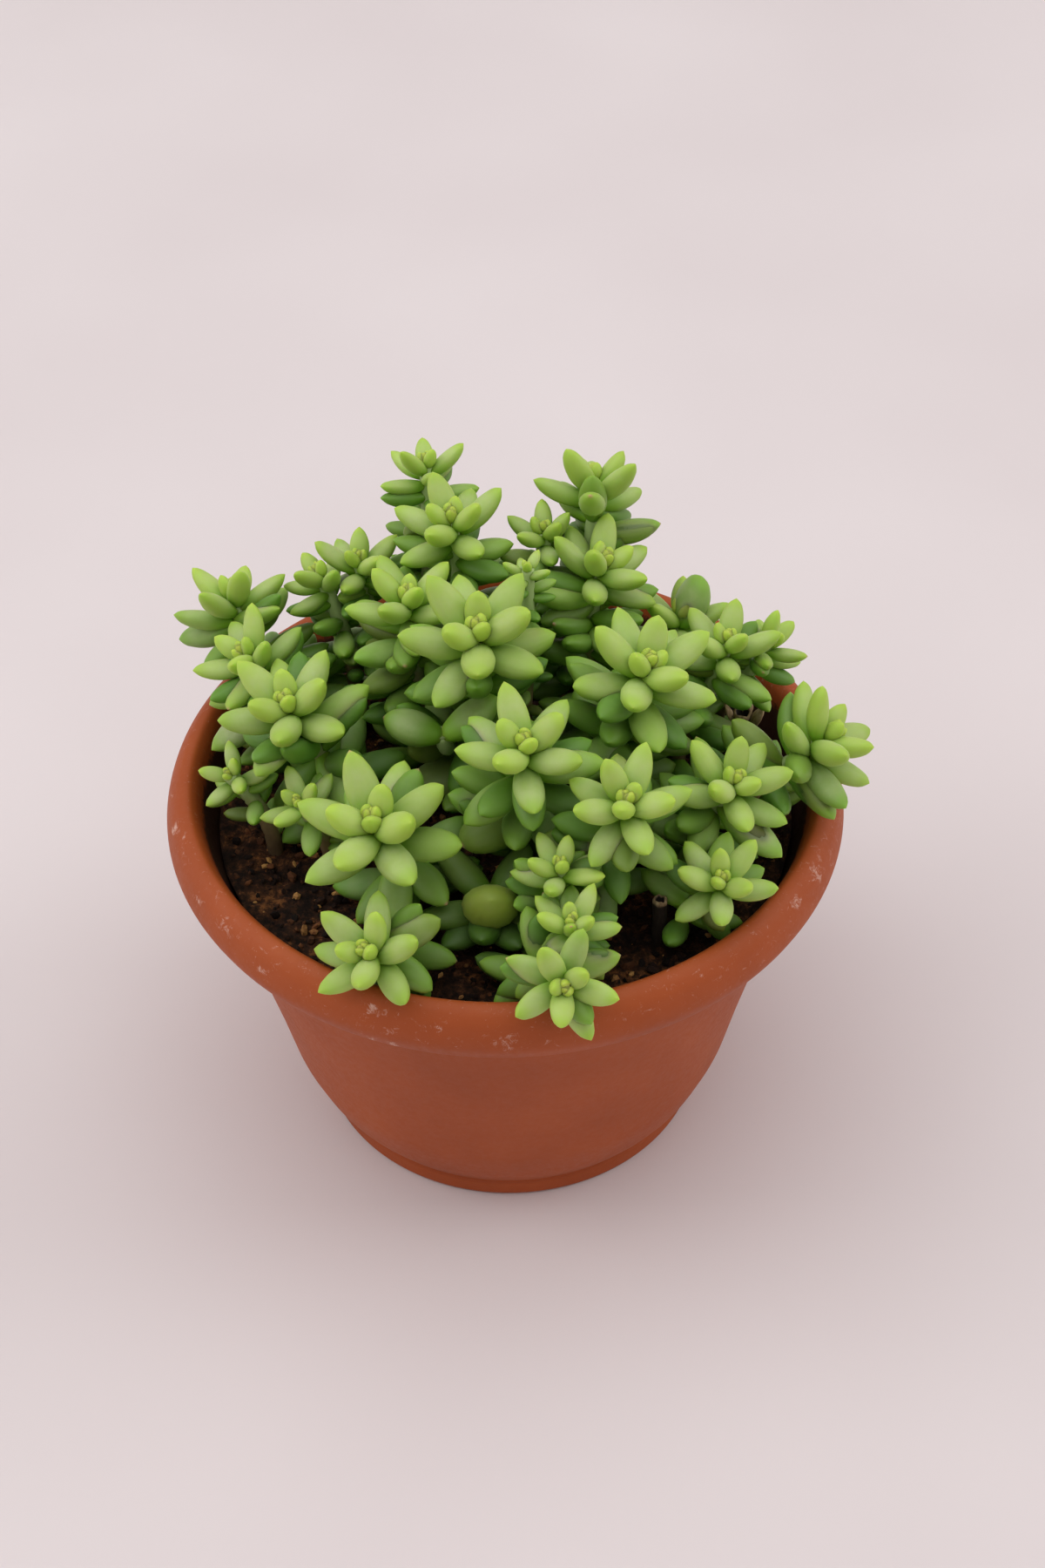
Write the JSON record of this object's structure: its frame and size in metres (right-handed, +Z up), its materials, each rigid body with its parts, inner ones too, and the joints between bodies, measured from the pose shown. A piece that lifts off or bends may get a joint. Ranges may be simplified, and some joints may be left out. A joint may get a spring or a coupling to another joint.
{
  "type": "potted trailing succulent",
  "caption": "Small round bowl pot of moulded plastic, filled with soil and crowded with the leafy rosettes of a trailing succulent, for a shelf or windowsill.",
  "frame": {"origin": "centre of the pot's flat base, on the surface that the pot stands on", "axes": "+Z up along the pot's axis, -Y towards the viewer of the picture, +X to the viewer's right"},
  "size_m": [0.133, 0.1363, 0.1281],
  "materials": {
    "terracotta_plastic": "matte moulded",
    "potting_soil": "dry crumbs",
    "succulent_leaf": "waxy bloom",
    "dry_stalk": "dry"
  },
  "bodies": {
    "root": {"pot": "terracotta_plastic", "soil": "potting_soil", "stem_back_left": "succulent_leaf", "stem_back_left_far": "succulent_leaf", "stem_back_left_tall": "succulent_leaf", "stem_back_middle": "succulent_leaf", "stem_back_rear": "succulent_leaf", "stem_back_right": "succulent_leaf", "stem_back_right_tall": "succulent_leaf", "stem_centre": "succulent_leaf", "stem_centre_front": "succulent_leaf", "stem_centre_left": "succulent_leaf", "stem_centre_right": "succulent_leaf", "stem_cut_front": "succulent_leaf", "stem_cut_middle": "succulent_leaf", "stem_front_centre": "succulent_leaf", "stem_front_left": "succulent_leaf", "stem_front_left_rim": "succulent_leaf", "stem_front_middle": "succulent_leaf", "stem_front_right": "succulent_leaf", "stem_front_rim": "succulent_leaf", "stem_left_back": "succulent_leaf", "stem_left_large": "succulent_leaf", "stem_left_low": "succulent_leaf", "stem_left_middle": "succulent_leaf", "stem_left_small": "succulent_leaf", "stem_right": "succulent_leaf", "stem_right_back": "succulent_leaf", "stem_right_far": "succulent_leaf", "stem_right_front": "succulent_leaf", "stem_right_rear": "succulent_leaf", "stem_right_rim": "succulent_leaf", "stem_small_middle": "succulent_leaf", "dry_stalk_front": "dry_stalk", "dry_stalk_right": "dry_stalk"}
  },
  "joints": []
}
